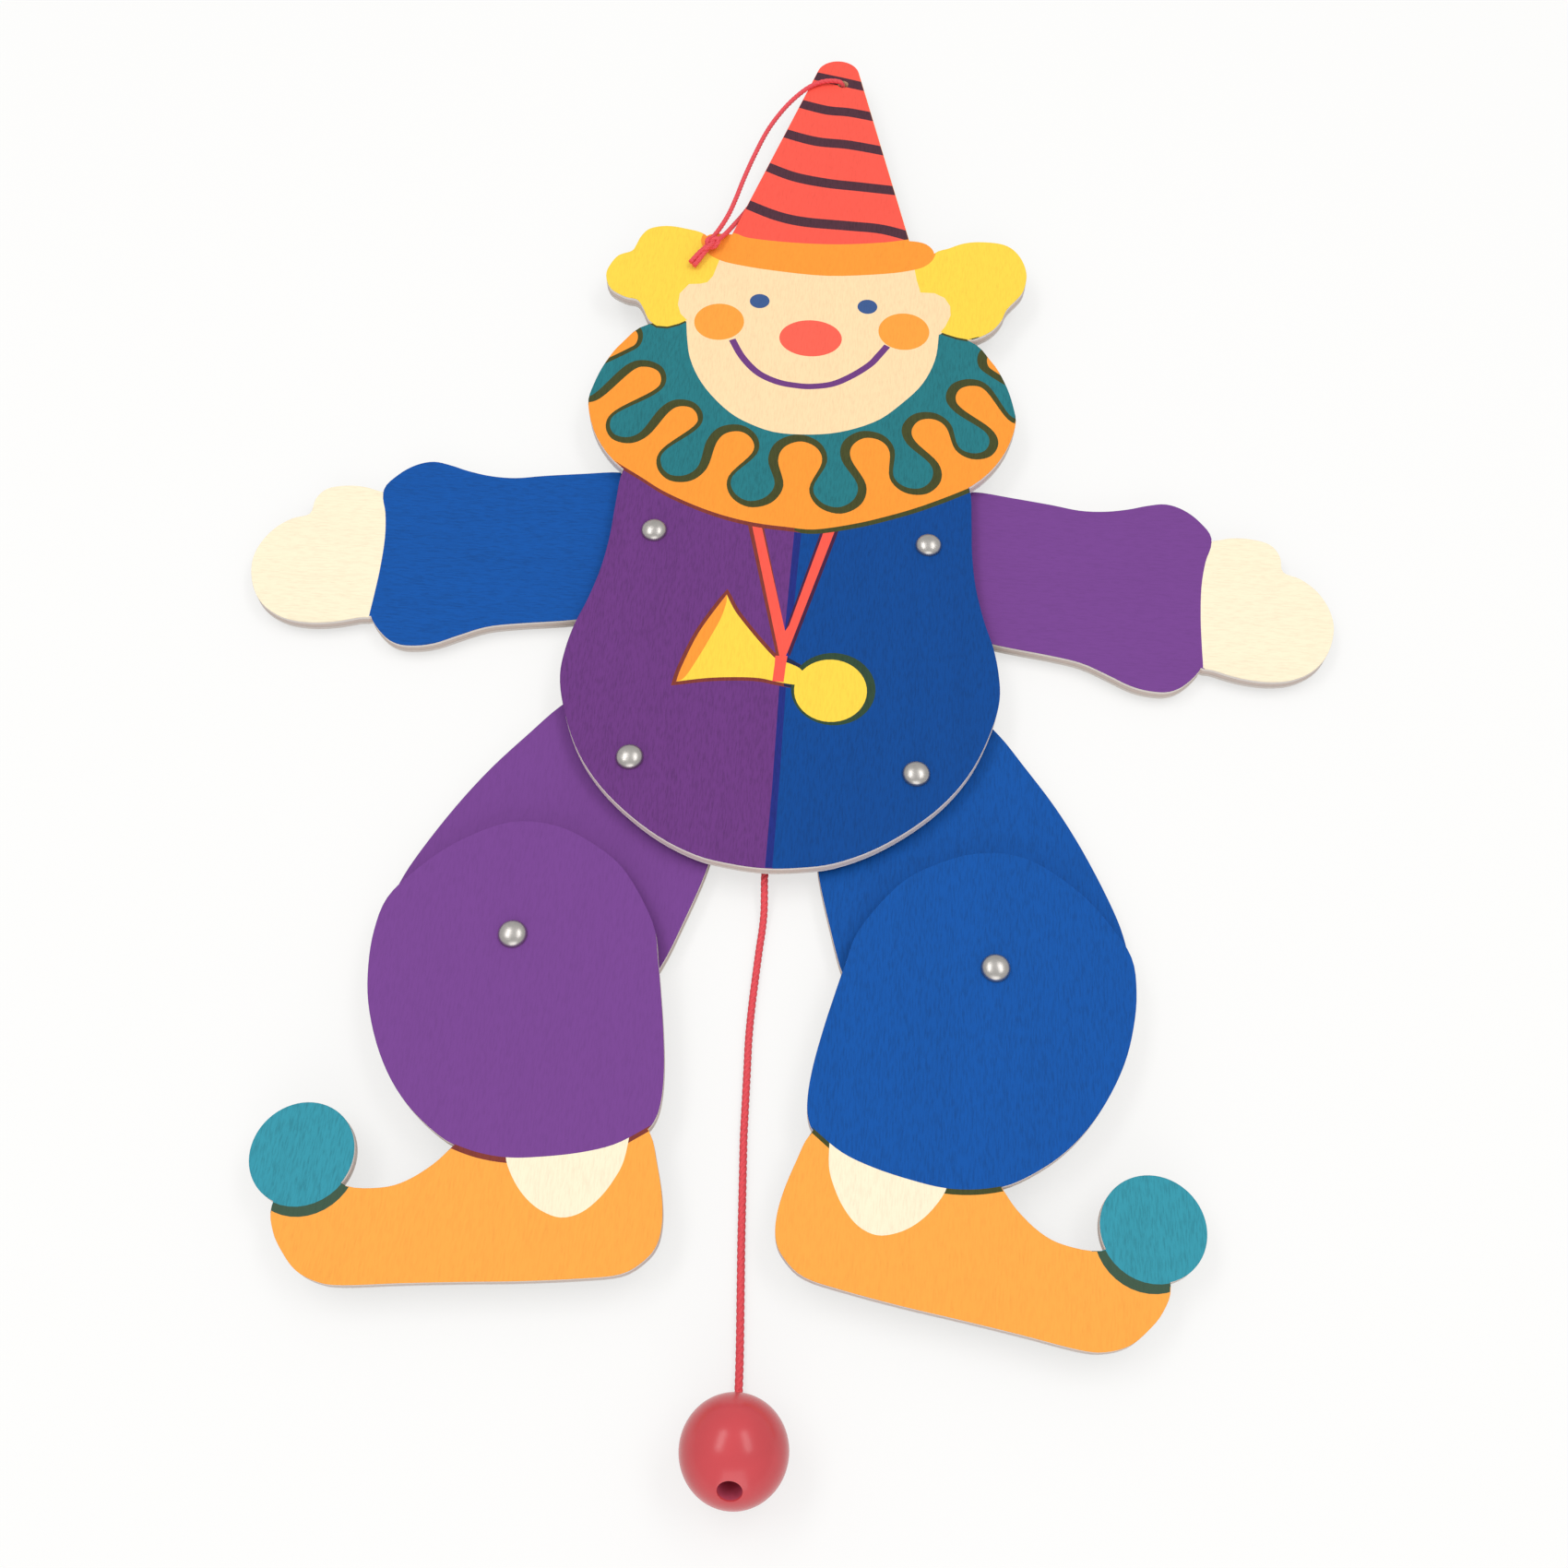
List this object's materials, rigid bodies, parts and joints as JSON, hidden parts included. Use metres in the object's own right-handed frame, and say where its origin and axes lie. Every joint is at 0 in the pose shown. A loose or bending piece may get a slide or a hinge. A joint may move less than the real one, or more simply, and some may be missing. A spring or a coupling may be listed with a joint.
{
  "type": "pull string jumping jack",
  "caption": "Flat plywood clown figure lying face up, with riveted arms and two-part legs that limb strings raise when the beaded cord is pulled; a cord loop hangs it up.",
  "frame": {"origin": "midway between the shoulder rivets, on the plane that the rivet tails rest on", "axes": "+Y from the legs to the tip of the hat, +X to the viewer's right, +Z out of the printed face"},
  "size_m": [0.259, 0.3848, 0.02],
  "materials": {
    "body_plate": "birch plywood, printed face, bare edges",
    "left_arm": "birch plywood, printed face",
    "left_thigh": "birch plywood, printed face",
    "left_lower_leg": "birch plywood, printed face",
    "left_shoulder_rivet": "bare, domed head",
    "left_shoulder_washer": "zinc plated",
    "left_shoulder_spacer": "vulcanised fibre",
    "left_hip_rivet": "bare, domed head",
    "left_hip_washer": "zinc plated",
    "left_hip_spacer": "vulcanised fibre",
    "left_knee_rivet": "bare, domed head",
    "left_knee_washer": "zinc plated",
    "left_knee_spacer": "vulcanised fibre",
    "left_arm_string": "twisted thread",
    "left_leg_string": "twisted thread",
    "right_arm": "birch plywood, printed face",
    "right_thigh": "birch plywood, printed face",
    "right_lower_leg": "birch plywood, printed face",
    "right_shoulder_rivet": "bare, domed head",
    "right_shoulder_washer": "zinc plated",
    "right_shoulder_spacer": "vulcanised fibre",
    "right_hip_rivet": "bare, domed head",
    "right_hip_washer": "zinc plated",
    "right_hip_spacer": "vulcanised fibre",
    "right_knee_rivet": "bare, domed head",
    "right_knee_washer": "zinc plated",
    "right_knee_spacer": "vulcanised fibre",
    "right_arm_string": "twisted thread",
    "right_leg_string": "twisted thread",
    "arm_knot": "twisted thread",
    "leg_knot": "twisted thread",
    "pull_cord": "braided cord",
    "pull_bead": "lacquered red",
    "bead_knot": "braided cord",
    "hanging_loop": "braided cord",
    "loop_knot": "braided cord"
  },
  "bodies": {
    "figure": {"body_plate": "body_plate", "left_shoulder_rivet": "left_shoulder_rivet", "left_shoulder_washer": "left_shoulder_washer", "left_shoulder_spacer": "left_shoulder_spacer", "left_hip_rivet": "left_hip_rivet", "left_hip_washer": "left_hip_washer", "left_hip_spacer": "left_hip_spacer", "right_shoulder_rivet": "right_shoulder_rivet", "right_shoulder_washer": "right_shoulder_washer", "right_shoulder_spacer": "right_shoulder_spacer", "right_hip_rivet": "right_hip_rivet", "right_hip_washer": "right_hip_washer", "right_hip_spacer": "right_hip_spacer", "hanging_loop": "hanging_loop", "loop_knot": "loop_knot"},
    "pull": {"pull_cord": "pull_cord", "pull_bead": "pull_bead", "bead_knot": "bead_knot", "arm_knot": "arm_knot", "leg_knot": "leg_knot"},
    "left_arm": {"left_arm": "left_arm"},
    "left_thigh": {"left_thigh": "left_thigh"},
    "left_shin": {"left_lower_leg": "left_lower_leg", "left_knee_rivet": "left_knee_rivet", "left_knee_washer": "left_knee_washer", "left_knee_spacer": "left_knee_spacer"},
    "left_arm_line": {"left_arm_string": "left_arm_string"},
    "left_leg_line": {"left_leg_string": "left_leg_string"},
    "right_arm": {"right_arm": "right_arm"},
    "right_thigh": {"right_thigh": "right_thigh"},
    "right_shin": {"right_lower_leg": "right_lower_leg", "right_knee_rivet": "right_knee_rivet", "right_knee_washer": "right_knee_washer", "right_knee_spacer": "right_knee_spacer"},
    "right_arm_line": {"right_arm_string": "right_arm_string"},
    "right_leg_line": {"right_leg_string": "right_leg_string"}
  },
  "joints": [
    {"name": "left_hip", "type": "hinge", "parent": "figure", "child": "left_thigh", "pos_m": [-0.0319, -0.0624, 0.0032], "axis": [0, 0, -1], "range_deg": [-4, 21]},
    {"name": "left_shoulder", "type": "hinge", "parent": "figure", "child": "left_arm", "pos_m": [-0.033, 0, 0.0032], "axis": [0, 0, -1], "range_deg": [-9.5, 49]},
    {"name": "left_knee", "type": "hinge", "parent": "left_thigh", "child": "left_shin", "pos_m": [-0.05166, -0.10636, 0.0032], "axis": [0, 0, -1], "range_deg": [-3, 115]},
    {"name": "left_arm_string_turn", "type": "hinge", "parent": "left_arm", "child": "left_arm_line", "pos_m": [-0.02655, 0.00403, 0.0032], "axis": [0, 0, -1], "range_deg": [-46.7, 8.95]},
    {"name": "left_leg_string_turn", "type": "hinge", "parent": "left_thigh", "child": "left_leg_line", "pos_m": [-0.01346, -0.0578, 0.0032], "axis": [0, 0, -1], "range_deg": [-19.6, 3.8]},
    {"name": "right_hip", "type": "hinge", "parent": "figure", "child": "right_thigh", "pos_m": [0.0319, -0.0624, 0.0032], "axis": [0, 0, 1], "range_deg": [-4, 21]},
    {"name": "right_shoulder", "type": "hinge", "parent": "figure", "child": "right_arm", "pos_m": [0.033, 0, 0.0032], "axis": [0, 0, 1], "range_deg": [-9.5, 49]},
    {"name": "right_knee", "type": "hinge", "parent": "right_thigh", "child": "right_shin", "pos_m": [0.04972, -0.10718, 0.0032], "axis": [0, 0, 1], "range_deg": [-3, 115]},
    {"name": "right_arm_string_turn", "type": "hinge", "parent": "right_arm", "child": "right_arm_line", "pos_m": [0.02655, 0.00403, 0.0032], "axis": [0, 0, 1], "range_deg": [-46.7, 8.95]},
    {"name": "right_leg_string_turn", "type": "hinge", "parent": "right_thigh", "child": "right_leg_line", "pos_m": [0.01346, -0.0578, 0.0032], "axis": [0, 0, 1], "range_deg": [-19.6, 3.8]},
    {"name": "pull_slide", "type": "slide", "parent": "figure", "child": "pull", "axis": [0, -1, 0], "range_m": [-0.0015, 0.0072]}
  ],
  "couplings": [
    {"joint": "left_shoulder", "follows": "left_hip", "ratio": 2.33},
    {"joint": "left_arm_string_turn", "follows": "left_hip", "ratio": -2.22},
    {"joint": "left_leg_string_turn", "follows": "left_hip", "ratio": -0.93},
    {"joint": "right_hip", "follows": "left_hip", "ratio": 1},
    {"joint": "right_shoulder", "follows": "left_hip", "ratio": 2.33},
    {"joint": "right_arm_string_turn", "follows": "left_hip", "ratio": -2.22},
    {"joint": "right_leg_string_turn", "follows": "left_hip", "ratio": -0.93},
    {"joint": "pull_slide", "follows": "left_hip", "m_per_rad": 0.0194}
  ]
}
